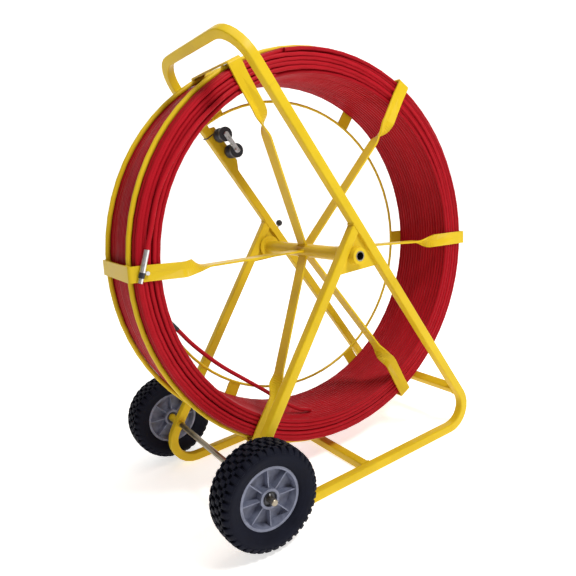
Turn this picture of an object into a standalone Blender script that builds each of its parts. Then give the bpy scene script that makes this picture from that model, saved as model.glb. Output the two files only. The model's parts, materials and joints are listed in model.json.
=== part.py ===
"""Wheeled reel of fibreglass duct rod: a steel tube stand, a cage reel, two wheels.

Metres, +Z up. The reel and the wheels turn about Y. The origin is on the floor below the
reel's axis. Near is -Y, far is +Y, and the wheels are at the front, towards -X.
"""
import math

import bmesh
import bpy
from mathutils import Matrix, Quaternion, Vector

GAP = 0.0003                # between pieces that touch
RUNNING = 0.00015           # radial clearance of a shaft in its bush

# Stand
TUBE = 0.0254               # square tube
TUBE_CORNER = 0.0035
SIDE_Y = 0.224              # middle plane of each side frame
REEL_Z = 0.612
LEAN = 0.561                # the long tube's forward run for each unit of height
REAR_CORNER_X = 0.3985      # where the long tube would meet the base tube
BEND_RADIUS = 0.065
HANDLE_Z = 1.1772
HANDLE_BEND = 0.086
HANDLE_JOINT_Z = 1.045
REAR_CROSS_Z = 0.1203
MID_CROSS_X = -0.0336
HUB_PLATE_BOTTOM = 0.572
PLATE = 0.005

# Wheels
WHEEL_RADIUS = 0.127
WHEEL_LIFT = 0.011          # the stand rests on its base tubes, the wheels just above
WHEEL_Y = 0.3025
TYRE_WIDTH = 0.085
RIM_RADIUS = 0.0768
WHEEL_BUSH = 0.0215         # half the bush's length: its ends lie deep in the rim's hub
AXLE_X = -0.398
AXLE_Z = WHEEL_RADIUS + WHEEL_LIFT
AXLE_R = 0.008
AXLE_END = 0.352

# Reel
SHAFT_R = 0.01335
SHAFT_BORE = 0.0105
SHAFT_END = 0.2507
BOSS_R = 0.0215
BOSS_LENGTH = 0.036
HUB_R = 0.019
HUB_BORE = 0.0155
HUB_NEAR = -0.2020
HUB_FAR = 0.2060
FLANGE_R = 0.034
CAGE_NEAR = -0.1068         # middle plane of the straps on the near face
CAGE_FAR = 0.1114
STRAP_WIDTH = 0.038
STRAP_THICK = 0.005
STRAP_R = 0.551             # middle of the strap's thickness round the rim
STRAP_BEND = 0.007
STRAP_ANGLES = (-6.3, 51.1, 111.3, 173.7, 236.5, 295.3)     # degrees, set by hand when welded
TWIST_OUTER = 0.424
TWIST_INNER = 0.350
CREASE_START = 0.506         # where the bar's lengthwise fold begins
CREASE_DEPTH = 0.0085
HOOP_ROD = 0.0065
HOOP_R = STRAP_R - STRAP_THICK / 2 - HOOP_ROD - GAP
NEAR_HOOP_Y = -0.0750
FAR_HOOP_Y = 0.1005
RING_R = 0.434
RING_ROD = 0.004

# Rod
ROD_R = 0.0055
COIL_INNER = 0.4730
COIL_OUTER = 0.5348
COIL_BULGE = 0.5478         # the turns spread outwards beside the near hoop
COIL_NEAR = CAGE_NEAR + STRAP_THICK / 2 + GAP
COIL_FAR = CAGE_FAR - STRAP_THICK / 2 - GAP


def long_tube_x(z):
    return REAR_CORNER_X - LEAN * (z - TUBE / 2)


LONG_UP = Vector((-LEAN, 0, 1)).normalized()
LONG_BACK = Vector((LONG_UP.z, 0, -LONG_UP.x))       # out of the long tube's rear face
STRUT_TOP_X = -0.0433                                # at the reel's height
STRUT_UP = Vector((STRUT_TOP_X - AXLE_X, 0, REEL_Z - AXLE_Z)).normalized()
REEL_CENTRE = Vector((0, 0, REEL_Z))
AXLE_CENTRE = Vector((AXLE_X, 0, AXLE_Z))


# ---------------------------------------------------------------- scene and materials

def clear_scene():
    for item in list(bpy.data.objects):
        bpy.data.objects.remove(item)


def new_collection(name):
    collection = bpy.data.collections.new(name)
    bpy.context.scene.collection.children.link(collection)
    return collection


def make_material(name, colour, roughness, metallic=0.0):
    material = bpy.data.materials.new(name)
    material.use_nodes = True
    shader = material.node_tree.nodes["Principled BSDF"]
    shader.inputs["Base Color"].default_value = (*colour, 1)
    shader.inputs["Roughness"].default_value = roughness
    shader.inputs["Metallic"].default_value = metallic
    return material


clear_scene()
PARTS = new_collection("duct_rod_reel")
CUTTERS = new_collection("cutters")
YELLOW = make_material("yellow_paint", (0.76, 0.50, 0.03), 0.35)
RED = make_material("red_rod", (0.42, 0.012, 0.022), 0.4)
STEEL = make_material("steel", (0.45, 0.44, 0.42), 0.35, 1.0)
ZINC = make_material("zinc", (0.75, 0.75, 0.77), 0.3, 1.0)
BRASS = make_material("brass", (0.70, 0.50, 0.20), 0.35, 1.0)
RUBBER = make_material("tyre_rubber", (0.012, 0.013, 0.022), 0.75)
RIM_GREY = make_material("rim_plastic", (0.16, 0.19, 0.28), 0.45)
BLACK = make_material("black_plastic", (0.010, 0.011, 0.018), 0.4)
NYLON = make_material("nylon", (0.55, 0.53, 0.48), 0.5)


def link(item, material, parent=None):
    PARTS.objects.link(item)
    item.data.materials.append(material)
    item.parent = parent
    return item


def add_empty(name, location):
    empty = bpy.data.objects.new(name, None)
    empty.location = location
    PARTS.objects.link(empty)
    return empty


def as_cutter(item):
    PARTS.objects.unlink(item)
    CUTTERS.objects.link(item)
    item.hide_render = True
    item.display_type = 'WIRE'
    return item


def boolean(item, cutter, operation='DIFFERENCE'):
    modifier = item.modifiers.new(operation.lower(), 'BOOLEAN')
    modifier.operation = operation
    modifier.object = as_cutter(cutter)


# ---------------------------------------------------------------- shape tools

def curve_to_mesh(item):
    """Replace a curve by the closed mesh of its shape, with clean edges for a Boolean."""
    bpy.context.view_layer.update()
    depsgraph = bpy.context.evaluated_depsgraph_get()
    mesh = bpy.data.meshes.new_from_object(item.evaluated_get(depsgraph))
    form = bmesh.new()
    form.from_mesh(mesh)
    bmesh.ops.remove_doubles(form, verts=form.verts, dist=0.00001)
    bmesh.ops.recalc_face_normals(form, faces=form.faces)
    form.to_mesh(mesh)
    form.free()
    name = item.name
    place = item.matrix_world.copy()
    bpy.data.objects.remove(item)
    solid = bpy.data.objects.new(name, mesh)
    PARTS.objects.link(solid)
    solid.matrix_world = place
    return solid


def rounded_path(corners, radius, steps=8):
    """Straight runs joined by arcs of one bend radius."""
    path = [corners[0]]
    for before, corner, after in zip(corners, corners[1:], corners[2:]):
        back = (before - corner).normalized()
        ahead = (after - corner).normalized()
        half = back.angle(ahead) / 2
        centre = corner + (back + ahead).normalized() * radius / math.sin(half)
        start = corner + back * radius / math.tan(half) - centre
        end = corner + ahead * radius / math.tan(half) - centre
        axis = start.cross(end)
        for step in range(steps + 1):
            turn = Quaternion(axis, start.angle(end) * step / steps)
            path.append(centre + turn @ start)
    path.append(corners[-1])
    return path


def poly_curve(name, points, cyclic=False):
    curve = bpy.data.curves.new(name, 'CURVE')
    curve.dimensions = '3D'
    spline = curve.splines.new('POLY')
    spline.points.add(len(points) - 1)
    for target, point in zip(spline.points, points):
        target.co = (*point, 1)
    spline.use_cyclic_u = cyclic
    curve.use_fill_caps = not cyclic
    return curve


def round_rod(name, points, radius, material, parent=None, sides=3, cyclic=False):
    curve = poly_curve(name, points, cyclic)
    curve.bevel_depth = radius
    curve.bevel_resolution = sides
    return link(bpy.data.objects.new(name, curve), material, parent)


def ring_points(radius, y, count):
    angles = [math.tau * step / count for step in range(count)]
    return [Vector((radius * math.cos(a), y, radius * math.sin(a))) for a in angles]


def turned(name, profile, centre, material, parent=None, steps=40):
    """Turn a closed profile of (radius, y) points about the Y axis through centre."""
    mesh = bpy.data.meshes.new(name)
    points = [(radius, 0, y) for radius, y in profile]
    count = len(points)
    closed = profile[0][0] > 0
    edges = [(i, (i + 1) % count) for i in range(count if closed else count - 1)]
    mesh.from_pydata(points, edges, [])
    item = link(bpy.data.objects.new(name, mesh), material, parent)
    item.location = centre
    item.rotation_euler = (-math.pi / 2, 0, 0)
    screw = item.modifiers.new("turn", 'SCREW')
    screw.steps = steps
    screw.render_steps = steps
    screw.use_merge_vertices = True
    screw.merge_threshold = 0.00001
    screw.use_smooth_shade = True
    return item


def tube_ring(name, outer, inner, low, high, centre, material, parent=None, steps=40):
    profile = [(outer, high), (outer, low), (inner, low), (inner, high)]
    return turned(name, profile, centre, material, parent, steps)


def solid_round(name, radius, low, high, centre, material, parent=None, steps=32, chamfer=0.0):
    profile = [(0, high), (radius - chamfer, high), (radius, high - chamfer),
               (radius, low + chamfer), (radius - chamfer, low), (0, low)]
    if not chamfer:
        profile = [(0, high), (radius, high), (radius, low), (0, low)]
    return turned(name, profile, centre, material, parent, steps)


def hexagon(name, radius, low, high, centre, material):
    return solid_round(name, radius, low, high, centre, material, None, 6)


def flat_plate(name, outline, holes, thickness, y, material):
    """A plate in an XZ plane: outline points and round holes of (x, z, radius)."""
    curve = bpy.data.curves.new(name, 'CURVE')
    curve.dimensions = '2D'
    curve.fill_mode = 'BOTH'
    curve.extrude = thickness / 2
    loops = [outline]
    for x, z, radius in holes:
        angles = [math.tau * step / 32 for step in range(32)]
        loops.append([(x + radius * math.cos(a), z + radius * math.sin(a)) for a in angles])
    for loop in loops:
        spline = curve.splines.new('POLY')
        spline.points.add(len(loop) - 1)
        for target, (x, z) in zip(spline.points, loop):
            target.co = (x, z, 0, 1)
        spline.use_cyclic_u = True
    item = link(bpy.data.objects.new(name, curve), material)
    item.location = (0, y, 0)
    item.rotation_euler = (math.pi / 2, 0, 0)
    return curve_to_mesh(item)


def tube_section():
    """Outline of the square tube, with rounded corners."""
    half = TUBE / 2
    corners = [Vector((half * x, half * y, 0)) for x, y in ((1, 1), (-1, 1), (-1, -1), (1, -1))]
    start = (corners[0] + corners[3]) / 2
    points = rounded_path([start, *corners, start], TUBE_CORNER, steps=2)[1:-1]
    section = bpy.data.objects.new("tube_section", poly_curve("tube_section", points, True))
    PARTS.objects.link(section)
    return as_cutter(section)


def square_tube(name, points, material=YELLOW):
    """A closed mesh of square tube along a path; its flats face the path's own plane."""
    curve = poly_curve(name, points)
    curve.bevel_mode = 'OBJECT'
    curve.bevel_object = SECTION
    guide = bpy.data.objects.new(name, curve)
    PARTS.objects.link(guide)
    bpy.context.view_layer.update()
    depsgraph = bpy.context.evaluated_depsgraph_get()
    mesh = bpy.data.meshes.new_from_object(guide.evaluated_get(depsgraph))
    bpy.data.objects.remove(guide)
    form = bmesh.new()
    form.from_mesh(mesh)
    bmesh.ops.remove_doubles(form, verts=form.verts, dist=0.00002)
    bmesh.ops.recalc_face_normals(form, faces=form.faces)
    form.to_mesh(mesh)
    form.free()
    mesh.shade_smooth()
    mesh.set_sharp_from_angle(angle=math.radians(50))
    mesh.name = name
    return link(bpy.data.objects.new(name, mesh), material)


def mitre(mesh, end, direction, face_point, face_normal):
    """Slide the vertices of a tube's cut end along the tube until they lie on a face."""
    for vertex in mesh.vertices:
        if abs((vertex.co - end).dot(direction)) < 0.001 and (vertex.co - end).length < TUBE:
            travel = (face_point - vertex.co).dot(face_normal) / direction.dot(face_normal)
            vertex.co += direction * travel


def loft(name, sections, material, parent=None):
    """A closed skin through sections of equal point count."""
    form = bmesh.new()
    rings = [[form.verts.new(point) for point in section] for section in sections]
    count = len(rings[0])
    for ring, following in zip(rings, rings[1:]):
        for i in range(count):
            j = (i + 1) % count
            form.faces.new((ring[i], ring[j], following[j], following[i]))
    form.faces.new(rings[0])
    form.faces.new(rings[-1])
    bmesh.ops.recalc_face_normals(form, faces=form.faces)
    mesh = bpy.data.meshes.new(name)
    form.to_mesh(mesh)
    form.free()
    mesh.shade_smooth()
    mesh.set_sharp_from_angle(angle=math.radians(40))
    return link(bpy.data.objects.new(name, mesh), material, parent)


# ---------------------------------------------------------------- stand

def side_frame(name, side):
    """One bent tube: down the strut, back along the floor, and up the long leg."""
    y = SIDE_Y * side
    floor = TUBE / 2
    front_x = AXLE_X - (AXLE_Z - floor) * STRUT_UP.x / STRUT_UP.z
    front = Vector((front_x, y, floor))
    rear = Vector((REAR_CORNER_X, y, floor))
    top = Vector((long_tube_x(HANDLE_JOINT_Z), y, HANDLE_JOINT_Z))
    underside = rear - LONG_BACK * (TUBE / 2 + GAP)
    reach = (underside - front).dot(LONG_BACK) / STRUT_UP.dot(LONG_BACK)
    strut_end = front + STRUT_UP * reach
    tube = square_tube(name, rounded_path([strut_end, front, rear, top], BEND_RADIUS))
    mitre(tube.data, strut_end, STRUT_UP, underside, LONG_BACK)
    hole = solid_round(name + "_axle_hole", AXLE_R + GAP, -0.03, 0.03,
                       (AXLE_X, y, AXLE_Z), STEEL)
    boolean(tube, hole)


def handle_bow():
    """The grip across the top, with a bent leg into each long tube."""
    def on_leg(z, side):
        return Vector((long_tube_x(z), SIDE_Y * side, z))
    foot = HANDLE_JOINT_Z + GAP
    corners = [on_leg(foot, -1), on_leg(HANDLE_Z, -1), on_leg(HANDLE_Z, 1), on_leg(foot, 1)]
    square_tube("handle_bow", rounded_path(corners, HANDLE_BEND))


def cross_tubes():
    """Two straight tubes that tie the side frames together."""
    half = SIDE_Y - TUBE / 2 - GAP
    for name, x, z in (("rear_cross_tube", long_tube_x(REAR_CROSS_Z), REAR_CROSS_Z),
                       ("mid_cross_tube", MID_CROSS_X, TUBE / 2)):
        tube = square_tube(name, [Vector((x, -half, z)), Vector((x, half, z))])
        if name == "rear_cross_tube":
            tilt = Matrix.Rotation(-math.atan(LEAN), 4, 'Y')
            middle = Matrix.Translation((x, 0, z))
            tube.data.transform(middle @ tilt @ middle.inverted())


def hub_plate(name, side, holes=()):
    """The gusset between strut and long tube that carries the reel's shaft."""
    def strut_face(z):
        inner = TUBE / 2 + GAP
        return STRUT_TOP_X + (z - REEL_Z) * STRUT_UP.x / STRUT_UP.z + inner / STRUT_UP.z
    def long_face(z):
        return long_tube_x(z) - (TUBE / 2 + GAP) / LONG_UP.z
    low = HUB_PLATE_BOTTOM
    gap_low = long_face(low) - strut_face(low)
    closing = LEAN + STRUT_UP.x / STRUT_UP.z
    high = low + (gap_low - 0.006) / closing
    outline = [(strut_face(low), low), (long_face(low), low),
               (long_face(high), high), (strut_face(high), high)]
    openings = [(0, REEL_Z, BOSS_R + GAP), *holes]
    flat_plate(name, outline, openings, PLATE, SIDE_Y * side, YELLOW)


def reel_bearings():
    """A boss in each hub plate, and the fixed pipe that the reel turns on."""
    for name, side in (("near_hub_boss", -1), ("far_hub_boss", 1)):
        low, high = sorted((side * SHAFT_END, side * (SHAFT_END - BOSS_LENGTH)))
        tube_ring(name, BOSS_R, SHAFT_R + GAP, low, high, REEL_CENTRE, YELLOW)
    tube_ring("reel_shaft", SHAFT_R, SHAFT_BORE, -SHAFT_END, SHAFT_END, REEL_CENTRE, STEEL)


# ---------------------------------------------------------------- wheels and axle

def wheel(prefix, side):
    """Block-tread tyre on a ribbed plastic rim, with a nylon bush."""
    hub = add_empty(prefix + "_wheel_axis", AXLE_CENTRE + Vector((0, WHEEL_Y * side, 0)))
    tread = [(0.0772, 0.0280), (0.0850, 0.0345), (0.0990, 0.0415), (0.1110, TYRE_WIDTH / 2),
             (0.1205, 0.0400), (0.1255, 0.0330), (WHEEL_RADIUS, 0.0200)]
    profile = tread[::1] + [(radius, -y) for radius, y in reversed(tread)]
    turned(prefix + "_tyre", profile, (0, 0, 0), RUBBER, hub)
    half = [(RIM_RADIUS, 0.0275), (0.0705, 0.0275), (0.0668, 0.0040), (0.0248, 0.0040),
            (0.0245, 0.0275), (0.0183, 0.0275)]
    profile = [half[0]] + [(radius, -y) for radius, y in half] + half[:0:-1]
    rim = turned(prefix + "_rim", profile, (0, 0, 0), RIM_GREY, hub)
    boolean(rim, rim_ribs(prefix, hub), 'UNION')
    tube_ring(prefix + "_wheel_bush", 0.0180, AXLE_R + RUNNING, -WHEEL_BUSH, WHEEL_BUSH, (0, 0, 0),
              BLACK, hub)


def rim_ribs(prefix, hub, count=8):
    form = bmesh.new()
    inner, outer, depth, thick = 0.0215, 0.0685, 0.0460, 0.0026
    for index in range(count):
        size = Matrix.Diagonal((outer - inner, depth, thick, 1))
        shift = Matrix.Translation(((outer + inner) / 2, 0, 0))
        turn = Matrix.Rotation(math.tau * (index + 0.13) / count, 4, 'Y')
        bmesh.ops.create_cube(form, size=1, matrix=turn @ shift @ size)
    mesh = bpy.data.meshes.new(prefix + "_ribs")
    form.to_mesh(mesh)
    form.free()
    return link(bpy.data.objects.new(prefix + "_ribs", mesh), RIM_GREY, hub)


def wheel_axle():
    """The through axle with its spacers, locking collars, washers and split pins."""
    axle = solid_round("wheel_axle", AXLE_R, -AXLE_END, AXLE_END, AXLE_CENTRE, STEEL, None, 32,
                       0.0015)
    tube_face = SIDE_Y + TUBE / 2 + GAP
    wheel_face = WHEEL_Y - WHEEL_BUSH - GAP
    washer_face = WHEEL_Y + WHEEL_BUSH + GAP
    pin_y = washer_face + 0.0055
    pin_r = 0.0016
    for prefix, side in (("near", -1), ("far", 1)):
        def ring(name, radius, first, last, material):
            low, high = sorted((side * first, side * last))
            tube_ring(prefix + name, radius, AXLE_R + GAP, low, high, AXLE_CENTRE, material, None, 32)
        ring("_axle_spacer", 0.011, tube_face, wheel_face, YELLOW)
        ring("_axle_collar", 0.011, tube_face - TUBE - 2 * GAP, tube_face - TUBE - 0.012, YELLOW)
        ring("_axle_washer", 0.0135, washer_face, washer_face + 0.0022, BLACK)
        across = [AXLE_CENTRE + Vector((0, side * pin_y, dz)) for dz in (-0.014, 0.014)]
        round_rod(prefix + "_split_pin", across, pin_r, ZINC, None, 2)
        hole = round_rod(prefix + "_pin_hole", across, pin_r + GAP, ZINC, None, 2)
        boolean(axle, curve_to_mesh(hole))


# ---------------------------------------------------------------- rod guide

GUIDE_PLATE_OUT = 0.0185                 # the bracket stands this far off the tube's rear face
GUIDE_ROLLER_R = 0.021
GUIDE_ROLLER_NEAR = 0.164
GUIDE_ROLLER_FAR = 0.206
GUIDE_BOLT_R = 0.004
GUIDE_OFFSET = TUBE / 2 + 0.0100
GUIDE_HEIGHTS = (("upper", 0.9605), ("lower", 0.9105))   # where the tube passes each roller


def guide_axis(z):
    """A roller's axis: beside the far long tube, level with a height on that tube."""
    foot = Vector((long_tube_x(z), 0, z)) + LONG_BACK * GUIDE_OFFSET
    return foot.x, foot.z


def rod_guide():
    """Two rollers on bolts, between a bracket on the far leg and a link plate."""
    face = TUBE / 2 + GAP
    def beside(z, out):
        point = Vector((long_tube_x(z), 0, z)) + LONG_BACK * out
        return point.x, point.z
    outline = [beside(0.852, face), beside(0.8785, face + GUIDE_PLATE_OUT),
               beside(0.984, face + GUIDE_PLATE_OUT), beside(0.990, face)]
    axes = [guide_axis(z) for _, z in GUIDE_HEIGHTS]
    holes = [(x, z, GUIDE_BOLT_R + GAP) for x, z in axes]
    flat_plate("guide_bracket", outline, holes, PLATE, SIDE_Y, YELLOW)
    link_y = GUIDE_ROLLER_NEAR - 0.0024
    flat_plate("guide_link_plate", obround(axes, 0.0075), holes, 0.003, link_y, ZINC)
    for (label, _), (x, z) in zip(GUIDE_HEIGHTS, axes):
        axis = add_empty(label + "_roller_axis", (x, 0, z))
        low, high, rim = GUIDE_ROLLER_NEAR, GUIDE_ROLLER_FAR, GUIDE_ROLLER_R
        middle = (low + high) / 2
        profile = [(rim, high), (rim, high - 0.010), (rim - 0.007, middle), (rim, low + 0.010),
                   (rim, low), (GUIDE_BOLT_R + RUNNING, low), (GUIDE_BOLT_R + RUNNING, high)]
        turned(label + "_guide_roller", profile, (0, 0, 0), BLACK, axis)
        head = link_y - 0.0015 - GAP
        nut = SIDE_Y + PLATE / 2 + GAP
        centre = (x, 0, z)
        bolt = solid_round(label + "_guide_bolt", GUIDE_BOLT_R, head - 0.003, nut + 0.009, centre, ZINC)
        boolean(bolt, hexagon(label + "_head", 0.0070, head - 0.005, head, centre, ZINC), 'UNION')
        boolean(bolt, hexagon(label + "_nut", 0.0070, nut, nut + 0.006, centre, ZINC), 'UNION')


def obround(centres, radius, steps=8):
    """Outline of a bar with round ends about two centres, each (x, z)."""
    first, second = [Vector(centre) for centre in centres]
    along = (second - first).angle_signed(Vector((1, 0)))
    points = []
    for centre, start in ((second, along - math.pi / 2), (first, along + math.pi / 2)):
        for step in range(steps + 1):
            angle = start + math.pi * step / steps
            points.append((centre.x + radius * math.cos(angle), centre.y + radius * math.sin(angle)))
    return points


def cable_tie():
    """A tie pulled round the far long tube and the guide bracket, just above the upper roller."""
    z = GUIDE_HEIGHTS[0][1] + 0.0125
    wire = 0.0016
    inner = TUBE / 2 + wire + GAP
    centre = Vector((long_tube_x(z), SIDE_Y, z))
    out = LONG_BACK * (inner + GUIDE_PLATE_OUT + GAP)
    side = Vector((0, inner, 0))
    corners = [-LONG_BACK * inner - side, out - side, out + side, -LONG_BACK * inner + side]
    middle = (corners[0] + corners[3]) / 2
    path = rounded_path([middle, *corners, middle], 0.004, steps=3)[1:-1]
    round_rod("cable_tie", [centre + point for point in path], wire, BLACK, None, 1, True)


# ---------------------------------------------------------------- brake

BRAKE_X = 0.0275
BRAKE_Z = 0.6000
BRAKE_SCREW_R = 0.005
BRAKE_GAP = 0.0006          # between pad and flange when the brake is off
KNOB_CENTRE = Vector((0.076, 0.2520, 0.674))
KNOB_R = 0.0105


def brake():
    """A lever on a screw through the far hub plate presses a pad on the reel's flange."""
    axis = add_empty("brake_axis", (BRAKE_X, 0, BRAKE_Z))
    flange_face = HUB_FAR + 0.001
    pad_low = flange_face + BRAKE_GAP
    pad_high = pad_low + 0.003
    solid_round("brake_pad", 0.0040, pad_low, pad_high, (BRAKE_X, 0, BRAKE_Z), BRASS, None, 24)
    nut_low = SIDE_Y + PLATE / 2 + GAP
    nut = hexagon("brake_nut", 0.0078, nut_low, nut_low + 0.008, (BRAKE_X, 0, BRAKE_Z), YELLOW)
    boolean(nut, solid_round("brake_nut_hole", BRAKE_SCREW_R + GAP, 0.2, 0.26,
                             (BRAKE_X, 0, BRAKE_Z), ZINC, None, 24))
    head_low = nut_low + 0.008 + 0.001
    head_high = head_low + 0.014
    profile = [(0, head_high), (0.0070, head_high), (0.0070, head_low), (BRAKE_SCREW_R, head_low),
               (BRAKE_SCREW_R, pad_high + BRAKE_GAP), (0, pad_high + BRAKE_GAP)]
    turned("brake_screw", profile, (0, 0, 0), ZINC, axis, 24)
    start = Vector((BRAKE_X, (head_low + head_high) / 2, BRAKE_Z))
    toward = (KNOB_CENTRE - start).normalized()
    arm = [start + toward * 0.0086, KNOB_CENTRE - toward * (KNOB_R + GAP)]
    round_rod("brake_arm", [point - axis.location for point in arm], 0.003, ZINC, axis, 3)
    knob = bpy.data.meshes.new("brake_knob")
    form = bmesh.new()
    bmesh.ops.create_uvsphere(form, u_segments=20, v_segments=12, radius=KNOB_R)
    form.to_mesh(knob)
    form.free()
    knob.shade_smooth()
    ball = link(bpy.data.objects.new("brake_knob", knob), BLACK, axis)
    ball.location = KNOB_CENTRE - axis.location


# ---------------------------------------------------------------- reel

def reel_hub(reel):
    """The turning hub pipe, its brake flange and its two bushes."""
    tube_ring("hub_tube", HUB_R, HUB_BORE, HUB_NEAR, HUB_FAR - 0.005, (0, 0, 0), YELLOW, reel)
    tube_ring("hub_flange", FLANGE_R, HUB_BORE, HUB_FAR - 0.005 + GAP, HUB_FAR + 0.001, (0, 0, 0),
              YELLOW, reel)
    for name, low, high in (("near_hub_bush", HUB_NEAR - 0.004, HUB_NEAR + 0.026),
                            ("far_hub_bush", HUB_FAR - 0.030, HUB_FAR + 0.004)):
        tube_ring(name, HUB_BORE - GAP, SHAFT_R + RUNNING, low, high, (0, 0, 0), NYLON, reel)


def strap_sections():
    """Sections of one bar: far face, round the rim, creased near face, twist, and in to the hub.

    The path lies in the plane of the radius (X) and the axis (Y); the bar's width is across it.
    """
    corners = [Vector((RING_R + RING_ROD + 0.0005, CAGE_FAR, 0)), Vector((STRAP_R, CAGE_FAR, 0)),
               Vector((STRAP_R, CAGE_NEAR, 0)), Vector((TWIST_OUTER, CAGE_NEAR, 0))]
    path = rounded_path(corners, STRAP_BEND, steps=6)
    path.insert(-1, Vector((CREASE_START, CAGE_NEAR, 0)))
    hub_end = Vector((HUB_R + GAP, 0, 0))
    inward = (hub_end - corners[-1]).normalized()
    twist_length = (TWIST_OUTER - TWIST_INNER) / -inward.x
    steps = 12
    twists = [0] * len(path)
    for step in range(1, steps + 1):
        share = step / steps
        path.append(corners[-1] + inward * twist_length * share)
        twists.append(math.pi / 2 * share * share * (3 - 2 * share))
    path.append(hub_end)
    twists.append(math.pi / 2)
    across = Vector((0, 0, 1))
    sections = []
    for index, (point, twist) in enumerate(zip(path, twists)):
        before = path[max(index - 1, 0)]
        after = path[min(index + 1, len(path) - 1)]
        along = (after - before).normalized()
        outward = Vector((-along.y, along.x, 0))
        width = across * math.cos(twist) + outward * math.sin(twist)
        thick = outward * math.cos(twist) - across * math.sin(twist)
        w, t = width * STRAP_WIDTH / 2, thick * STRAP_THICK / 2
        crease = 0.0
        if point.y < CAGE_NEAR / 2 and point.x < CREASE_START:
            crease = CREASE_DEPTH * (CREASE_START - point.x) / (CREASE_START - TWIST_OUTER)
            crease = min(crease, CREASE_DEPTH) * math.cos(twist) ** 2
        fold = thick * crease
        sections.append([point + w + t + fold, point + t, point - w + t + fold,
                         point - w - t + fold, point - t, point + w - t + fold])
    sections[-1] = [corner + inward * (hub_end.x - corner.x) / inward.x for corner in sections[-1]]
    return sections


def cage(reel):
    """Six one-piece straps, two outer hoops and the inner ring on the far face."""
    sections = strap_sections()
    for number, degrees in enumerate(STRAP_ANGLES, 1):
        strap = loft(f"cage_strap_{number}", sections, YELLOW, reel)
        strap.rotation_euler = (0, -math.radians(degrees), 0)
    for name, radius, y, rod in (("near_hoop", HOOP_R, NEAR_HOOP_Y, HOOP_ROD),
                                 ("far_hoop", HOOP_R, FAR_HOOP_Y, HOOP_ROD),
                                 ("inner_ring", RING_R, CAGE_FAR, RING_ROD)):
        round_rod(name, ring_points(radius, y, 72), rod, YELLOW, reel, 2, True)


# ---------------------------------------------------------------- rod

def coil(reel):
    """The wound rod as one ring; it spreads wider beside the near hoop."""
    step_low = NEAR_HOOP_Y - HOOP_ROD - 0.0015
    step_high = step_low + 0.001
    edge = 0.006
    profile = [(COIL_OUTER - edge, COIL_FAR), (COIL_OUTER, COIL_FAR - edge), (COIL_OUTER, step_high),
               (COIL_BULGE, step_low), (COIL_BULGE, COIL_NEAR + edge),
               (COIL_BULGE - edge, COIL_NEAR),
               (COIL_INNER + 0.004, COIL_NEAR), (COIL_INNER, COIL_NEAR + 0.004),
               (COIL_INNER, COIL_FAR - 0.004), (COIL_INNER + 0.004, COIL_FAR)]
    turned("rod_coil", profile, (0, 0, 0), RED, reel, 72)


def on_reel(radius, degrees, y):
    angle = math.radians(degrees)
    return Vector((radius * math.cos(angle), y, radius * math.sin(angle)))


def smooth_route(stops, count):
    """Points on one smooth curve through the route's own points."""
    curve = []
    ends = [stops[0] * 2 - stops[1], *stops, stops[-1] * 2 - stops[-2]]
    spans = len(stops) - 1
    for step in range(count + 1):
        place = min(step * spans / count, spans - 1e-9)
        index = int(place)
        t = place - index
        a, b, c, d = ends[index:index + 4]
        curve.append((b * 2 + (c - a) * t + (a * 2 - b * 5 + c * 4 - d) * t ** 2
                      + (b * 3 - a - c * 3 + d) * t ** 3) / 2)
    return curve


FERRULE_TOP = Vector((-0.500, -0.1180, 0.1103))       # from the reel's centre
FERRULE_DOWN = Vector((-0.389, 0, -0.921)).normalized()
FERRULE_R = 0.0066
INNER_END_ROUTE = ((0.4665, 259), (0.4560, 253), (0.4330, 245), (0.4160, 237),
                   (0.4090, 226), (0.4180, 214), (0.4370, 202), (0.4545, 194))
INNER_END_Y = -0.050


def outer_end(reel):
    """The rod's leading end: off the near face, into a ferrule clipped to a strap."""
    lift = COIL_NEAR - ROD_R - GAP
    stops = [on_reel(0.492, 121, lift), on_reel(0.494, 132, lift), on_reel(0.498, 143, lift),
             on_reel(0.503, 153, lift - 0.002), FERRULE_TOP - FERRULE_DOWN * 0.045,
             FERRULE_TOP - FERRULE_DOWN * GAP]
    round_rod("rod_outer_end", smooth_route(stops, 26), ROD_R, RED, reel, 3)
    def piece(name, radius, start, end, material):
        ends = [FERRULE_TOP + FERRULE_DOWN * start, FERRULE_TOP + FERRULE_DOWN * end]
        round_rod(name, ends, radius, material, reel, 3)
    piece("rod_ferrule", FERRULE_R, 0, 0.053, ZINC)
    piece("rod_clip_band", 0.0074, 0.053 + GAP, 0.066, BLACK)
    piece("ferrule_nose", 0.0060, 0.066 + GAP, 0.078, ZINC)
    strap_face = CAGE_NEAR - STRAP_THICK / 2 - GAP
    centre = (-0.508, 0, 0.0570)
    solid_round("clip_bolt", 0.0048, strap_face - 0.008, strap_face, centre, ZINC, reel, 12)


def inner_end(reel):
    """The rod's trailing end springs off the inside of the coil and ends in a cap."""
    stops = [on_reel(radius, degrees, INNER_END_Y) for radius, degrees in INNER_END_ROUTE]
    path = smooth_route(stops, 60)
    round_rod("rod_inner_end", path, ROD_R, RED, reel, 3)
    along = (path[-1] - path[-2]).normalized()
    ends = [path[-1] + along * GAP, path[-1] + along * 0.026]
    round_rod("inner_end_cap", ends, 0.0060, BLACK, reel, 3)


# ---------------------------------------------------------------- build

SECTION = tube_section()
side_frame("near_side_tube", -1)
side_frame("far_side_tube", 1)
handle_bow()
cross_tubes()
hub_plate("near_hub_plate", -1)
hub_plate("far_hub_plate", 1, [(BRAKE_X, BRAKE_Z, BRAKE_SCREW_R + GAP)])
reel_bearings()
wheel("near", -1)
wheel("far", 1)
wheel_axle()
rod_guide()
cable_tie()
brake()
REEL = add_empty("reel_axis", REEL_CENTRE)
reel_hub(REEL)
cage(REEL)
coil(REEL)
outer_end(REEL)
inner_end(REEL)
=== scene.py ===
import json
import math
import random

import bmesh
import bpy
from mathutils import Matrix, Vector

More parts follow.
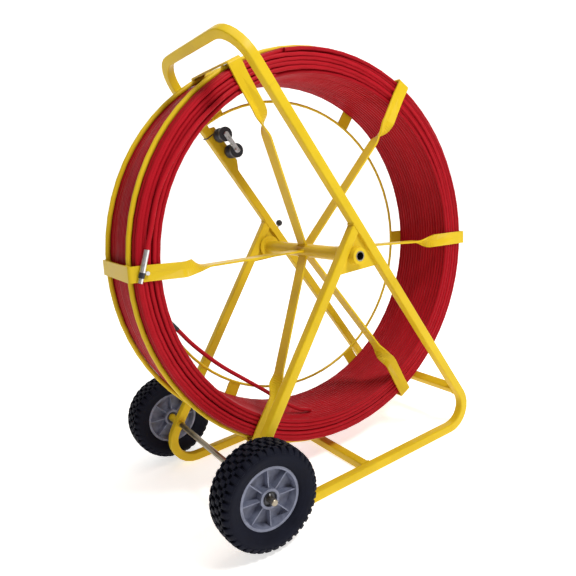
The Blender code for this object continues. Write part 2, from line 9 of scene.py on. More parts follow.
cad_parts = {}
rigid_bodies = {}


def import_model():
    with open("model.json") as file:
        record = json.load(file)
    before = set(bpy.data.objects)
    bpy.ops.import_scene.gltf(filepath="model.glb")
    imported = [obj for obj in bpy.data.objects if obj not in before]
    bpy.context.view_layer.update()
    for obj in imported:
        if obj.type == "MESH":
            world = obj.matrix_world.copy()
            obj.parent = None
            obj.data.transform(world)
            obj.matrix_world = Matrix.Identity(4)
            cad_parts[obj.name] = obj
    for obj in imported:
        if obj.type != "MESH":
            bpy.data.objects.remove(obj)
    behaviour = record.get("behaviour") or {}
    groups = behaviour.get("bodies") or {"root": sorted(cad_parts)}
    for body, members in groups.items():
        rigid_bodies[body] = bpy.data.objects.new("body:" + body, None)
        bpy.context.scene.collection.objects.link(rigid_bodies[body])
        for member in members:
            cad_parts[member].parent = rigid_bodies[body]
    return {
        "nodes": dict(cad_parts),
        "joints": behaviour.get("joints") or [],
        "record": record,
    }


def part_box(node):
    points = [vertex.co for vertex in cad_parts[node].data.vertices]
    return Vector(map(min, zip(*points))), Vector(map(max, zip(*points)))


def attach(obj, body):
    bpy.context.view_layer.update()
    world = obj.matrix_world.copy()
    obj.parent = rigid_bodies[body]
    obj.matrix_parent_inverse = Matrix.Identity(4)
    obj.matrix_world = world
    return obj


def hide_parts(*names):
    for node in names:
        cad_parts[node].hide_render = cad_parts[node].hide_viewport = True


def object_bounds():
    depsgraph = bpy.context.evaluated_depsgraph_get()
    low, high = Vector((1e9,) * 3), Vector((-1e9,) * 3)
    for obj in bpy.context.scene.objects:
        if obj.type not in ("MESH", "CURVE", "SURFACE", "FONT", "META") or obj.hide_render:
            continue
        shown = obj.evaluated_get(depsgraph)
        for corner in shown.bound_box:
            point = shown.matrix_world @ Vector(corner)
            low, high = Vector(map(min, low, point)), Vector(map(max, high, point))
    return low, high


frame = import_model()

cad_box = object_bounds()
nodes = frame["nodes"]
axis_of = {joint["name"]: Vector(joint["pos_m"]) for joint in frame["joints"]}


# ------------------------------------------------------------------ camera
# It stands to the left of the reel a little above the axle, looks slightly down, and is
# turned so that the whole stand leans in the frame.
CAMERA_PLACE = Vector((-0.8983, -1.3772, 0.8792))
YAW, PITCH, ROLL = -30.8385, -12.7474, -8.1231
LENS = 35.606

yaw, pitch, roll = (math.radians(angle) for angle in (YAW, PITCH, ROLL))
forward = Vector((-math.sin(yaw) * math.cos(pitch), math.cos(yaw) * math.cos(pitch), math.sin(pitch)))
level = forward.cross(Vector((0, 0, 1))).normalized()
rise = level.cross(forward)
across = level * math.cos(roll) + rise * math.sin(roll)
up = rise * math.cos(roll) - level * math.sin(roll)
camera_data = bpy.data.cameras.new("camera")
camera_data.lens = LENS
camera = bpy.data.objects.new("camera", camera_data)
aim = Matrix((across, up, -forward)).transposed().to_4x4()
camera.matrix_world = Matrix.Translation(CAMERA_PLACE) @ aim
bpy.context.scene.collection.objects.link(camera)
bpy.context.scene.camera = camera


# ------------------------------------------------------------------ floor and light
# A pale studio floor under soft light: a key lamp high at the front right, a soft lamp
# overhead, and an even warm sky that leaves the faces turned to the left in ochre shade.
class Shade:
    """One material's nodes. A call makes a node; arithmetic on results adds Math nodes."""

    def __init__(self, name):
        self.material = bpy.data.materials.new(name)
        self.material.use_nodes = True
        self.tree = self.material.node_tree
        self.surface = self.tree.nodes["Principled BSDF"]

    def node(self, kind, settings=None, output=0, **inputs):
        made = self.tree.nodes.new("ShaderNode" + kind)
        for name, value in (settings or {}).items():
            setattr(made, name, value)
        self.fill(made, inputs)
        return Socket(self, made.outputs[output])

    def fill(self, made, inputs):
        for name, value in inputs.items():
            found = made.inputs[int(name[1:])] if name[0] == "i" and name[1:].isdigit() \
                else made.inputs[name.replace("_", " ")]
            if isinstance(value, Socket):
                self.tree.links.new(value.socket, found)
            elif isinstance(value, tuple) and len(value) == 3 and found.type == 'RGBA':
                found.default_value = (*value, 1)
            else:
                found.default_value = value

    def place(self):
        return self.node("TexCoord", output=3)

    def noise(self, scale, detail=3.0, rough=0.55, where=None):
        where = where or self.place()
        return self.node("TexNoise", Vector=where, Scale=scale, Detail=detail, Roughness=rough)

    def mix(self, share, first, second, blend='MIX'):
        settings = {"data_type": 'RGBA', "blend_type": blend}
        return self.node("Mix", settings, 2, i0=share, i6=first, i7=second)

    def span(self, value, low, high, start=0.0, end=1.0):
        return self.node("MapRange", None, 0, Value=value, From_Min=low, From_Max=high,
                         To_Min=start, To_Max=end)

    def bump(self, height, strength, distance):
        relief = self.node("Bump", Strength=strength, Distance=distance, Height=height)
        self.fill(self.surface, {"Normal": relief})

    def set(self, **inputs):
        self.fill(self.surface, inputs)
        return self.material


class Socket:
    def __init__(self, shade, socket):
        self.shade = shade
        self.socket = socket

    def math(self, operation, other):
        return self.shade.node("Math", {"operation": operation}, i0=self, i1=other)

    def __add__(self, other):
        return self.math('ADD', other)

    def __mul__(self, other):
        return self.math('MULTIPLY', other)


def paint_node(material, *names):
    for name in names:
        slots = nodes[name].material_slots
        if slots:
            slots[0].material = material
        else:
            nodes[name].data.materials.append(material)


floor_shade = Shade("studio_floor")
speckle = floor_shade.noise(3.0)
floor_paint = floor_shade.set(Base_Color=floor_shade.mix(speckle, (0.93, 0.93, 0.93), (0.95, 0.95, 0.95)),
                              Roughness=0.8, Emission_Color=(1, 1, 1), Emission_Strength=0.64)
SWEEP = [(-9.0, 0.0), (4.0, 0.0), (5.2, 0.25), (6.1, 0.9), (6.5, 2.0), (6.6, 4.0), (6.6, 9.0)]
heading = math.radians(-YAW)
sweep = bpy.data.meshes.new("studio_floor")
corners = []
for along, height in SWEEP:
    for aside in (-12, 12):
        corners.append((along * math.sin(heading) + aside * math.cos(heading),
                        along * math.cos(heading) - aside * math.sin(heading), height))
sweep.from_pydata(corners, [], [(2 * i, 2 * i + 1, 2 * i + 3, 2 * i + 2) for i in range(len(SWEEP) - 1)])
sweep.shade_smooth()
sweep.materials.append(floor_paint)
floor = bpy.data.objects.new("studio_floor", sweep)
bpy.context.scene.collection.objects.link(floor)
bpy.context.scene.view_settings.view_transform = 'Standard'

world = bpy.data.worlds.new("pale_sky")
world.use_nodes = True
world.node_tree.nodes["Background"].inputs["Color"].default_value = (1.0, 0.90, 0.78, 1)
world.node_tree.nodes["Background"].inputs["Strength"].default_value = 0.26
bpy.context.scene.world = world


def add_lamp(name, place, size, power, colour=(1, 1, 1)):
    lamp = bpy.data.lights.new(name, 'AREA')
    lamp.size = size
    lamp.energy = power
    lamp.color = colour
    holder = bpy.data.objects.new(name, lamp)
    holder.location = place
    holder.rotation_euler = (Vector((0, 0, 0.6)) - Vector(place)).to_track_quat('-Z', 'Y').to_euler()
    bpy.context.scene.collection.objects.link(holder)


add_lamp("key_lamp", (0.8, -2.5, 3.5), 0.8, 92, (1.0, 1.0, 0.97))
add_lamp("top_lamp", (0.4, -0.6, 4.2), 2.0, 44, (1.0, 1.0, 1.0))


# ------------------------------------------------------------------ duct rod
# Glass fibre rod in a red plastic jacket, 11 mm thick and about 311 m long. It is wound in
# five loose layers inside the cage, with a few turns spread outwards beside the near hoop.
ROD_R = 0.0055
TURN_POINTS = 72
LAYERS = 5
LAYER_STEP = 0.01290
FACE_STEP = 0.01100
ACROSS_STEP = 0.01120
SPREAD_STEP = 0.0100
SPREAD_ACROSS = 0.0108
INNER_RADIUS = 0.4730
LAYER_CHANGE = math.radians(100)
random.seed(7)

rod_shade = Shade("red_rod_jacket")
tone = rod_shade.node("Attribute", {"attribute_name": "strand"}, 2)
grime = rod_shade.noise(22.0, 4.0)
rubbed = rod_shade.noise(260.0, 2.0)
red = rod_shade.mix(tone, (0.31, 0.005, 0.012), (0.45, 0.010, 0.020))
red = rod_shade.mix(rod_shade.span(grime, 0.35, 0.75, 0.0, 0.35), red, (0.28, 0.005, 0.008))
rod_shade.bump(rubbed, 0.12, 0.0004)
rod_red = rod_shade.set(Base_Color=red, Roughness=rod_shade.span(grime, 0.3, 0.7, 0.34, 0.50),
                        Specular_IOR_Level=0.07)


def path_mesh(name, points, tones):
    mesh = bpy.data.meshes.new(name)
    mesh.from_pydata([tuple(point) for point in points], [(i, i + 1) for i in range(len(points) - 1)], [])
    mesh.attributes.new("strand", 'FLOAT', 'POINT').data.foreach_set("value", tones)
    item = bpy.data.objects.new(name, mesh)
    bpy.context.scene.collection.objects.link(item)
    return item


class Grower:
    """A Geometry Nodes tree with named inputs, run once on an object to give a plain mesh."""

    def __init__(self, name, **sizes):
        self.tree = bpy.data.node_groups.new(name, 'GeometryNodeTree')
        self.tree.interface.new_socket("Geometry", in_out='INPUT', socket_type='NodeSocketGeometry')
        self.tree.interface.new_socket("Geometry", in_out='OUTPUT', socket_type='NodeSocketGeometry')
        self.ids = {}
        for size, value in sizes.items():
            kind = 'NodeSocketInt' if isinstance(value, int) else 'NodeSocketFloat'
            socket = self.tree.interface.new_socket(size, in_out='INPUT', socket_type=kind)
            self.ids[size] = socket.identifier
        self.sizes = sizes
        self.given = self.tree.nodes.new("NodeGroupInput")
        self.made = self.tree.nodes.new("NodeGroupOutput")

    def add(self, kind, settings=None, **inputs):
        step = self.tree.nodes.new(kind)
        for name, value in (settings or {}).items():
            setattr(step, name, value)
        for name, value in inputs.items():
            found = step.inputs[name.replace("_", " ")]
            if isinstance(value, bpy.types.NodeSocket):
                self.tree.links.new(value, found)
            else:
                found.default_value = value
        return step

    def close(self, geometry, material):
        real = self.add("GeometryNodeRealizeInstances", Geometry=geometry)
        coat = self.add("GeometryNodeSetMaterial", Geometry=real.outputs[0], Material=material)
        self.tree.links.new(coat.outputs[0], self.made.inputs[0])

    def run(self, item, name):
        modifier = item.modifiers.new(name, 'NODES')
        modifier.node_group = self.tree
        for size, value in self.sizes.items():
            modifier[self.ids[size]] = value
        bpy.context.view_layer.update()
        mesh = bpy.data.meshes.new_from_object(item.evaluated_get(bpy.context.evaluated_depsgraph_get()))
        bpy.data.objects.remove(item)
        mesh.name = name
        piece = bpy.data.objects.new(name, mesh)
        bpy.context.scene.collection.objects.link(piece)
        return piece


def rod_grower(radius, sides, material):
    """Sweeps a round section along the path and closes its ends."""
    tree = Grower("rod_sweep", Radius=radius, Sides=sides)
    curve = tree.add("GeometryNodeMeshToCurve", Mesh=tree.given.outputs["Geometry"])
    section = tree.add("GeometryNodeCurvePrimitiveCircle", Resolution=tree.given.outputs["Sides"],
                       Radius=tree.given.outputs["Radius"])
    skin = tree.add("GeometryNodeCurveToMesh", Curve=curve.outputs[0], Profile_Curve=section.outputs[0],
                    Fill_Caps=True)
    smooth = tree.add("GeometryNodeSetShadeSmooth", Geometry=skin.outputs[0])
    tree.close(smooth.outputs[0], material)
    return tree


coil_low, coil_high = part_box("rod_coil")
centre = axis_of["reel_spin"]
OUTERMOST = 0.5428
LEFT_DROP = 0.0120
BETWEEN_HOOPS = 0.5302
near_row = coil_low.y + ROD_R
rows = int((coil_high.y - coil_low.y - 2 * ROD_R) / ACROSS_STEP) + 1
turns = []
for layer in range(LAYERS):
    order = range(rows) if layer % 2 == 0 else range(rows - 1, -1, -1)
    for row in order:
        step = FACE_STEP if row < 2 else LAYER_STEP
        turns.append((INNER_RADIUS + ROD_R + layer * step, near_row + row * ACROSS_STEP, layer))
for layer, order in ((LAYERS, (0, 1)), (LAYERS + 1, (1, 0))):
    for row in order:
        radius = OUTERMOST - (LAYERS + 1 - layer) * SPREAD_STEP
        turns.append((radius, near_row + row * SPREAD_ACROSS, layer))

points, tones = [], []
sway = [[(random.uniform(-1, 1), random.uniform(0, math.tau), k) for k in (1, 2, 3, 5)] for _ in turns]
tone_of = [random.uniform(0.15, 0.95) for _ in turns]
for index, (radius, y, layer) in enumerate(turns[:-1]):
    next_radius, next_y, _ = turns[index + 1]
    on_face = abs(y - near_row) < 0.006
    for step in range(TURN_POINTS):
        share = step / TURN_POINTS
        angle = math.tau * share + LAYER_CHANGE
        ease = share * share * (3 - 2 * share)
        swing = sum(a * (1 - ease) * math.sin(k * angle + phase) / k for a, phase, k in sway[index])
        swing += sum(a * ease * math.sin(k * angle + phase) / k for a, phase, k in sway[index + 1])
        size = 0.0005 if layer == 0 else 0.0008 + 0.0003 * layer
        if on_face:
            size *= 1.5
        blend = min(max((share - 0.75) / 0.25, 0), 1)
        r = radius + (next_radius - radius) * blend + swing * size
        r = min(max(r, INNER_RADIUS + ROD_R), OUTERMOST)
        place = y + (next_y - y) * blend + swing * 0.0004
        place = min(max(place, near_row), coil_high.y - ROD_R)
        if place > near_row + 0.012:
            r = min(r, BETWEEN_HOOPS)
        elif layer >= LAYERS:
            r -= LEFT_DROP * (0.5 - 0.5 * math.cos(angle)) * (1.0 if layer > LAYERS else 0.5)
        points.append(centre + Vector((r * math.cos(angle), place, r * math.sin(angle))))
        tones.append(tone_of[index] * (1 - ease) + tone_of[index + 1] * ease)
coil = rod_grower(ROD_R, 8, rod_red).run(path_mesh("winding", points, tones), "rod_winding")
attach(coil, "reel")
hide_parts("rod_coil")


# ------------------------------------------------------------------ the rod's two ends
# The leading end comes off the near face and runs into a ferrule at a strap. The trailing
# end springs off the inside of the coil, crosses the cage and ends in a plastic cap.
END_SIDES = 14


def on_reel(radius, degrees, y):
    angle = math.radians(degrees)
    return centre + Vector((radius * math.cos(angle), y, radius * math.sin(angle)))


def smooth_route(stops, count):
    route = []
    ends = [stops[0] * 2 - stops[1], *stops, stops[-1] * 2 - stops[-2]]
    spans = len(stops) - 1
    for step in range(count + 1):
        place = min(step * spans / count, spans - 1e-9)
        first = int(place)
        t = place - first
        a, b, c, d = ends[first:first + 4]
        route.append((b * 2 + (c - a) * t + (a * 2 - b * 5 + c * 4 - d) * t ** 2
                      + (b * 3 - a - c * 3 + d) * t ** 3) / 2)
    return route


FERRULE_TOP = centre + Vector((-0.500, -0.1180, 0.1103))
FERRULE_DOWN = Vector((-0.389, 0, -0.921)).normalized()
lift = coil_low.y - ROD_R - 0.0003
stops = [on_reel(0.492, 109, near_row + 0.001), on_reel(0.492, 114, near_row - 0.004),
         on_reel(0.492, 121, lift), on_reel(0.494, 132, lift), on_reel(0.498, 143, lift),
         on_reel(0.503, 153, lift - 0.002), FERRULE_TOP - FERRULE_DOWN * 0.045,
         FERRULE_TOP + FERRULE_DOWN * 0.002]
route = smooth_route(stops, 48)
line = path_mesh("leading", route, [0.8] * len(route))
leading = rod_grower(ROD_R, END_SIDES, rod_red).run(line, "rod_leading_end")
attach(leading, "reel")
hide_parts("rod_outer_end")

INNER_END_Y = -0.050
INNER_END_ROUTE = ((0.4665, 259), (0.4560, 253), (0.4330, 245), (0.4160, 237),
                   (0.4090, 226), (0.4180, 214), (0.4370, 202), (0.4545, 194))
trail = smooth_route([on_reel(radius, degrees, INNER_END_Y) for radius, degrees in INNER_END_ROUTE], 36)
line = path_mesh("trailing", trail, [0.75] * len(trail))
trailing = rod_grower(ROD_R, END_SIDES, rod_red).run(line, "rod_trailing_end")
trail_length = sum((b - a).length for a, b in zip(trail, trail[1:]))
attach(trailing, "reel")
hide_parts("rod_inner_end")


# ------------------------------------------------------------------ yellow paint
# Every piece of the stand and the cage is mild steel in a bright yellow enamel. It is
# glossy with a fine orange peel, a little chalky in patches and rubbed at random spots.
yellow_shade = Shade("yellow_enamel")
cloud = yellow_shade.noise(7.0, 4.0)
peel = yellow_shade.noise(420.0, 2.0)
chips = yellow_shade.noise(70.0, 6.0, 0.65)
yellow = yellow_shade.mix(yellow_shade.span(cloud, 0.3, 0.7), (0.64, 0.44, 0.014), (0.75, 0.53, 0.022))
dirty = yellow_shade.span(chips, 0.66, 0.74)
yellow = yellow_shade.mix(dirty * 0.55, yellow, (0.42, 0.26, 0.04))
yellow_shade.bump(peel * 0.6 + cloud * 0.4, 0.10, 0.0006)
yellow_paint = yellow_shade.set(Base_Color=yellow, Roughness=yellow_shade.span(cloud, 0.3, 0.7, 0.26, 0.42),
                                Specular_IOR_Level=0.12)
pieces = frame["record"]["subparts"]
yellow_nodes = [piece["node"] for piece in pieces if piece["material_slot"] == "yellow_paint"]
bodies = frame["record"]["behaviour"]["bodies"]
body_of = {node: body for body, members in bodies.items() for node in members}


def crisp_copy(node, material, angle=50.0):
    """The node's own shape as one joined skin, with flat faces flat and round ones smooth."""
    form = bmesh.new()
    form.from_mesh(nodes[node].data)
    bmesh.ops.remove_doubles(form, verts=form.verts, dist=0.000002)
    mesh = bpy.data.meshes.new(node + "_skin")
    form.to_mesh(mesh)
    form.free()
    if "custom_normal" in mesh.attributes:
        mesh.attributes.remove(mesh.attributes["custom_normal"])
    mesh.materials.clear()
    mesh.materials.append(material)
    mesh.shade_smooth()
    mesh.set_sharp_from_angle(angle=math.radians(angle))
    skin = bpy.data.objects.new(node + "_skin", mesh)
    bpy.context.scene.collection.objects.link(skin)
    even = skin.modifiers.new("even_normals", 'WEIGHTED_NORMAL')
    even.weight = 90
    even.keep_sharp = True
    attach(skin, body_of[node])
    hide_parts(node)
    return skin


for node in yellow_nodes:
    limit = 11.0 if node.startswith("cage_strap") else 50.0
    crisp_copy(node, yellow_paint, limit)


# ------------------------------------------------------------------ weld beads
# Every joint in the steel is welded by hand, with the bead's ripples left under the paint:
# round tube ends, along the hub plates and the bracket, and where straps meet hoops and hub.
BEAD_R = 0.0021
TUBE = 0.0254
LEAN = 0.561
REAR_CORNER_X = 0.3985
SIDE_Y = 0.224
PLATE_FACE = 0.0028
STRUT_TOP_X = -0.0433
STRAP_ANGLES = (-6.3, 51.1, 111.3, 173.7, 236.5, 295.3)

leg_up = Vector((-LEAN, 0, 1)).normalized()
leg_back = Vector((leg_up.z, 0, -leg_up.x))
axle = axis_of["near_wheel_spin"]
strut_up = Vector((STRUT_TOP_X - axle.x, 0, centre.z - axle.z)).normalized()
strut_back = Vector((strut_up.z, 0, -strut_up.x))


def leg_point(z, y, out=0.0):
    return Vector((REAR_CORNER_X - LEAN * (z - TUBE / 2), y, z)) + leg_back * out


def strut_point(z, y, out=0.0):
    return Vector((axle.x + (z - axle.z) * strut_up.x / strut_up.z, y, z)) + strut_back * out


def ring_path(middle, radius, count=40):
    angles = [math.tau * step / count for step in range(count + 1)]
    return [middle + Vector((radius * math.cos(a), 0, radius * math.sin(a))) for a in angles]


def bead_grower(material):
    """Lays overlapping round drops of slightly varied size along every path."""
    tree = Grower("weld_bead", Drop=BEAD_R, Spacing=0.0026)
    curve = tree.add("GeometryNodeMeshToCurve", Mesh=tree.given.outputs["Geometry"])
    even = tree.add("GeometryNodeResampleCurve", {"mode": 'LENGTH'}, Curve=curve.outputs[0],
                    Length=tree.given.outputs["Spacing"])
    drop = tree.add("GeometryNodeMeshUVSphere", Segments=8, Rings=5, Radius=tree.given.outputs["Drop"])
    smooth = tree.add("GeometryNodeSetShadeSmooth", Geometry=drop.outputs[0])
    size = tree.add("FunctionNodeRandomValue", {"data_type": 'FLOAT'}, Seed=5)
    size.inputs[2].default_value = 0.85
    size.inputs[3].default_value = 1.15
    copies = tree.add("GeometryNodeInstanceOnPoints", Points=even.outputs[0], Instance=smooth.outputs[0],
                      Scale=size.outputs[1])
    tree.close(copies.outputs[0], material)
    return tree


def lay_beads(name, paths, body):
    points, edges = [], []
    for path in paths:
        edges += [(len(points) + i, len(points) + i + 1) for i in range(len(path) - 1)]
        points += [tuple(point) for point in path]
    mesh = bpy.data.meshes.new(name)
    mesh.from_pydata(points, edges, [])
    item = bpy.data.objects.new(name, mesh)
    bpy.context.scene.collection.objects.link(item)
    beads = bead_grower(yellow_paint).run(item, name)
    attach(beads, body)


stand_paths = []
half = TUBE / 2
for side in (-1, 1):
    y = SIDE_Y * side
    under = leg_point(0.70, y, -half)
    loop = []
    for dy, out in ((1, 1), (-1, 1), (-1, -1), (1, -1), (1, 1)):
        corner = strut_point(centre.z, y + dy * half, out * half)
        loop.append(corner + strut_up * ((under - corner).dot(leg_back) / strut_up.dot(leg_back)))
    stand_paths.append(loop)
    for cross_tube in ("rear_cross_tube", "mid_cross_tube"):
        low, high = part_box(cross_tube)
        middle = (low + high) / 2
        upright = (Vector((0, 0, 1)), Vector((1, 0, 0)))
        turn = (leg_up, leg_back) if cross_tube == "rear_cross_tube" else upright
        end = Vector((middle.x, side * (SIDE_Y - half), middle.z))
        stand_paths.append([end + turn[0] * a * half + turn[1] * b * half
                            for a, b in ((-0.8, 1), (1, 1), (1, -1), (-0.8, -1))])
    for face in (-PLATE_FACE, PLATE_FACE):
        low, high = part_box(("near" if side < 0 else "far") + "_hub_plate")
        stand_paths.append([strut_point(z, y + face, half) for z in (low.z + 0.011, high.z + 0.003)])
        stand_paths.append([leg_point(z, y + face, -half) for z in (low.z + 0.008, high.z - 0.006)])
        stand_paths.append(ring_path(Vector((0, y + face, centre.z)), 0.0222))
    for face in (-half, half):
        stand_paths.append(ring_path(Vector((axle.x, y + face, axle.z)), 0.0114, 24))
for face in (-PLATE_FACE, PLATE_FACE):
    stand_paths.append([leg_point(z, SIDE_Y + face, half) for z in (0.854, 0.988)])
lay_beads("stand_welds", stand_paths, "stand")

HUB_BEAD_R = 0.0196
reel_paths = []
hoop_r = (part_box("near_hoop")[1].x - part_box("near_hoop")[0].x) / 2
ring_r = (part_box("inner_ring")[1].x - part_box("inner_ring")[0].x) / 2
for degrees in STRAP_ANGLES:
    angle = math.radians(degrees)
    outward = Vector((math.cos(angle), 0, math.sin(angle)))
    aside = Vector((-math.sin(angle), 0, math.cos(angle)))
    for edge in (-1, 1):
        foot = centre + outward * HUB_BEAD_R + aside * edge * 0.0036
        reel_paths.append([foot + Vector((0, y, 0)) for y in (-0.019, 0.019)])
        for hoop in ("near_hoop", "far_hoop"):
            low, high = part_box(hoop)
            seam = centre + outward * (hoop_r - 0.0012) + aside * edge * 0.0185
            reel_paths.append([seam + Vector((0, y, 0)) for y in (low.y + 0.002, high.y - 0.002)])
    seam = centre + outward * (ring_r + 0.0004) + Vector((0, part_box("inner_ring")[0].y + 0.002, 0))
    reel_paths.append([seam + aside * width for width in (-0.017, 0.017)])
low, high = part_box("hub_flange")
reel_paths.append(ring_path(Vector((0, low.y, centre.z)), HUB_BEAD_R))
lay_beads("reel_welds", reel_paths, "reel")


# ------------------------------------------------------------------ wheels
# Block-tread tyres of hard black rubber on moulded grey-blue rims. Each tyre is a turned
# carcass with two rows of crown blocks and a row of lugs wrapped over each shoulder.
rubber_shade = Shade("tyre_rubber")
dust = rubber_shade.noise(30.0, 5.0)
grain = rubber_shade.noise(900.0, 2.0)
black = rubber_shade.mix(rubber_shade.span(dust, 0.35, 0.8), (0.003, 0.0038, 0.011), (0.008, 0.0095, 0.020))
rubber_shade.bump(grain, 0.25, 0.0003)
rubber = rubber_shade.set(Base_Color=black, Roughness=rubber_shade.span(dust, 0.3, 0.7, 0.58, 0.78),
                          Specular_IOR_Level=0.12)

CROWN = [(0.1270, 0.0), (0.1268, 0.010), (0.1264, 0.020), (0.1252, 0.030), (0.1222, 0.0372),
         (0.1180, 0.0408), (0.1120, 0.0424)]
GROOVE = 0.0055
BLOCKS = 38


def profile_at(y):
    """The tread's outline at a width."""
    for (r0, y0), (r1, y1) in zip(CROWN, CROWN[1:]):
        if y <= y1:
            share = (y - y0) / (y1 - y0)
            return r0 + (r1 - r0) * share
    return CROWN[-1][0]


def ring_mesh(name, profile, centre, sides=72):
    """A closed body of revolution about Y from (radius, y) points."""
    form = bmesh.new()
    rings = []
    for step in range(sides):
        angle = math.tau * step / sides
        outward = Vector((math.cos(angle), 0, math.sin(angle)))
        rings.append([form.verts.new(centre + outward * r + Vector((0, y, 0))) for r, y in profile])
    count = len(profile)
    for a, b in zip(rings, rings[1:] + rings[:1]):
        for i in range(count):
            j = (i + 1) % count
            form.faces.new((a[i], a[j], b[j], b[i]))
    bmesh.ops.recalc_face_normals(form, faces=form.faces)
    mesh = bpy.data.meshes.new(name)
    form.to_mesh(mesh)
    form.free()
    mesh.shade_smooth()
    mesh.set_sharp_from_angle(angle=math.radians(35))
    item = bpy.data.objects.new(name, mesh)
    bpy.context.scene.collection.objects.link(item)
    return item


def tread_block(name, low, high, length):
    """One lug on top of the wheel: it follows the tread's outline from low to high in width."""
    form = bmesh.new()
    widths = [low + (high - low) * step / 4 for step in range(5)]
    sections = []
    for along, drop in ((-0.5, GROOVE + 0.001), (-0.43, 0.0008), (-0.36, 0.0), (0.36, 0.0), (0.43, 0.0008),
                        (0.5, GROOVE + 0.001)):
        ring = []
        for y in widths:
            inset = 0.0008 if y in (widths[0], widths[-1]) else 0
            steep = min(max((y - 0.030) / 0.0124, 0), 1)
            lower = max(drop, inset)
            top = profile_at(y) - lower * (1 - steep * 0.5)
            ring.append(form.verts.new((along * length, y - lower * steep * 0.75, top)))
        sections.append(ring)
    for a, b in zip(sections, sections[1:]):
        for i in range(4):
            form.faces.new((a[i], a[i + 1], b[i + 1], b[i]))
    base = []
    for ring in sections:
        low_end = form.verts.new((ring[0].co.x, widths[0] + 0.0005, ring[0].co.z - 0.006))
        high_end = form.verts.new((ring[-1].co.x, min(widths[-1], 0.0385) - 0.002, ring[-1].co.z - 0.006))
        base.append((low_end, high_end))
    for k in range(len(sections) - 1):
        form.faces.new((sections[k][0], sections[k + 1][0], base[k + 1][0], base[k][0]))
        form.faces.new((sections[k][-1], base[k][1], base[k + 1][1], sections[k + 1][-1]))
        form.faces.new((base[k][0], base[k + 1][0], base[k + 1][1], base[k][1]))
    form.faces.new([*sections[0], base[0][1], base[0][0]])
    form.faces.new([*sections[-1], base[-1][1], base[-1][0]])
    bmesh.ops.recalc_face_normals(form, faces=form.faces)
    mesh = bpy.data.meshes.new(name)
    form.to_mesh(mesh)
    form.free()
    return bpy.data.objects.new(name, mesh)


def tread_grower(block, count, material):
    """Sets copies of one block round the wheel's axis, which is Y through the origin."""
    tree = Grower("tread_" + block.name, Count=count, Offset=0.0)
    ring = tree.add("GeometryNodeMeshLine", Count=tree.given.outputs["Count"], Offset=(0, 0, 0))
    source = tree.add("GeometryNodeObjectInfo", Object=block)
    index = tree.add("GeometryNodeInputIndex")
    step = tree.add("ShaderNodeMath", {"operation": 'DIVIDE'})
    tree.tree.links.new(index.outputs[0], step.inputs[0])
    tree.tree.links.new(tree.given.outputs["Count"], step.inputs[1])
    shifted = tree.add("ShaderNodeMath", {"operation": 'ADD'})
    tree.tree.links.new(step.outputs[0], shifted.inputs[0])
    tree.tree.links.new(tree.given.outputs["Offset"], shifted.inputs[1])
    turn = tree.add("ShaderNodeMath", {"operation": 'MULTIPLY'})
    tree.tree.links.new(shifted.outputs[0], turn.inputs[0])
    turn.inputs[1].default_value = math.tau
    angle = tree.add("ShaderNodeCombineXYZ", Y=turn.outputs[0])
    copies = tree.add("GeometryNodeInstanceOnPoints", Points=ring.outputs[0],
                      Instance=source.outputs["Geometry"], Rotation=angle.outputs[0])
    tree.close(copies.outputs[0], material)
    return tree


carcass = [(0.0772, 0.0285), (0.0800, 0.0322), (0.0860, 0.0352), (0.0905, 0.0372), (0.0925, 0.0384),
           (0.0945, 0.0384), (0.0985, 0.0405), (0.1060, 0.0412), (0.1120, 0.0405), (0.1165, 0.0372),
           (0.1190, 0.0300), (0.1208, 0.0190), (0.1213, 0.0060)]
carcass = carcass + [(radius, -y) for radius, y in reversed(carcass)]
crown_block = tread_block("crown", 0.0012, 0.0186, 0.0135)
middle_block = tread_block("middle", 0.0200, 0.0290, 0.0110)
shoulder_block = tread_block("shoulder", 0.0280, 0.0424, 0.0140)
for prefix in ("near", "far"):
    hub = axis_of[prefix + "_wheel_spin"]
    rows_made = [ring_mesh(prefix + "_carcass", carcass, Vector((0, 0, 0)))]
    for block, offset in ((crown_block, 0.0), (middle_block, 0.5), (shoulder_block, 0.0)):
        for side in (1, -1):
            blank = bpy.data.objects.new("blank", bpy.data.meshes.new("blank"))
            bpy.context.scene.collection.objects.link(blank)
            tree = tread_grower(block, BLOCKS, rubber)
            tree.sizes["Offset"] = (offset + (0.5 if side < 0 else 0.0)) / BLOCKS
            row = tree.run(blank, prefix + "_row")
            if side < 0:
                row.data.transform(Matrix.Diagonal((1, -1, 1, 1)))
                row.data.flip_normals()
            rows_made.append(row)
    form = bmesh.new()
    for row in rows_made:
        form.from_mesh(row.data)
        bpy.data.objects.remove(row)
    mesh = bpy.data.meshes.new(prefix + "_block_tyre")
    form.to_mesh(mesh)
    form.free()
    mesh.transform(Matrix.Translation(hub))
    mesh.materials.clear()
    mesh.materials.append(rubber)
    mesh.shade_smooth()
    mesh.set_sharp_from_angle(angle=math.radians(35))
    tyre = bpy.data.objects.new(prefix + "_block_tyre", mesh)
    bpy.context.scene.collection.objects.link(tyre)
    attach(tyre, prefix + "_wheel")
    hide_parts(prefix + "_tyre")

rim_shade = Shade("rim_plastic")
mottle = rim_shade.noise(60.0, 4.0)
fine = rim_shade.noise(700.0, 2.0)
grey = rim_shade.mix(rim_shade.span(mottle, 0.3, 0.7), (0.125, 0.138, 0.205), (0.225, 0.245, 0.340))
rim_shade.bump(fine * 0.5 + mottle * 0.5, 0.2, 0.0008)
rim_plastic = rim_shade.set(Base_Color=grey, Roughness=rim_shade.span(mottle, 0.3, 0.7, 0.38, 0.55))
paint_node(rim_plastic, "near_rim", "far_rim")


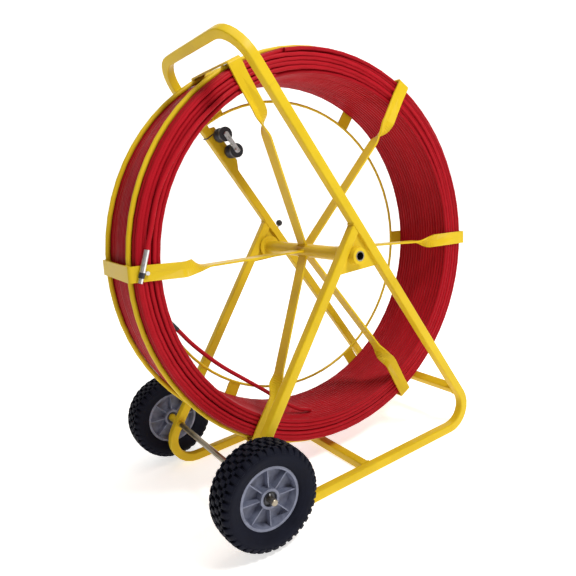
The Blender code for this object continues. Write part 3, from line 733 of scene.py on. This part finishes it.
# ------------------------------------------------------------------ black plastic and bare metal
# Bushes, rollers, knob, cap, clip and tie are black plastic. The axle and the reel's pipe are
# plain oiled steel; bolts, pins, ferrule and link plate are zinc plated.
plastic_shade = Shade("black_plastic")
matt = plastic_shade.noise(40.0, 3.0)
plastic_shade.bump(plastic_shade.noise(600.0, 2.0), 0.15, 0.0003)
black_plastic = plastic_shade.set(
    Base_Color=plastic_shade.mix(matt, (0.008, 0.009, 0.016), (0.020, 0.022, 0.034)),
    Roughness=plastic_shade.span(matt, 0.3, 0.7, 0.30, 0.45))

steel_shade = Shade("oiled_steel")
stain = steel_shade.noise(28.0, 5.0)
lay = steel_shade.node("Mapping", Vector=steel_shade.place(), Scale=(1.0, 0.04, 1.0))
lines = steel_shade.noise(1400.0, 2.0, 0.5, lay)
steel_shade.bump(lines, 0.2, 0.0002)
steel = steel_shade.set(
    Base_Color=steel_shade.mix(steel_shade.span(stain, 0.35, 0.7), (0.26, 0.22, 0.16), (0.42, 0.38, 0.31)),
    Roughness=steel_shade.span(stain, 0.3, 0.7, 0.28, 0.48), Metallic=1.0)

zinc_shade = Shade("zinc_plate")
flakes = zinc_shade.noise(120.0, 4.0)
zinc_shade.bump(flakes, 0.1, 0.0003)
zinc = zinc_shade.set(
    Base_Color=zinc_shade.mix(flakes, (0.60, 0.61, 0.64), (0.80, 0.81, 0.83)),
    Roughness=zinc_shade.span(flakes, 0.3, 0.7, 0.22, 0.38), Metallic=1.0)

brass_shade = Shade("turned_brass")
tarnish = brass_shade.noise(90.0, 4.0)
brass = brass_shade.set(
    Base_Color=brass_shade.mix(tarnish, (0.55, 0.36, 0.12), (0.78, 0.58, 0.26)),
    Roughness=brass_shade.span(tarnish, 0.3, 0.7, 0.25, 0.4), Metallic=1.0)

nylon_shade = Shade("natural_nylon")
wear = nylon_shade.noise(60.0, 3.0)
nylon = nylon_shade.set(
    Base_Color=nylon_shade.mix(wear, (0.50, 0.47, 0.40), (0.64, 0.61, 0.54)),
    Roughness=nylon_shade.span(wear, 0.3, 0.7, 0.4, 0.6))

finish_of = {"black_plastic": black_plastic, "steel": steel, "zinc": zinc, "brass": brass, "nylon": nylon}
for entry in frame["record"]["subparts"]:
    if entry["material_slot"] in finish_of:
        paint_node(finish_of[entry["material_slot"]], entry["node"])


# ------------------------------------------------------------------ end
low, high = cad_box
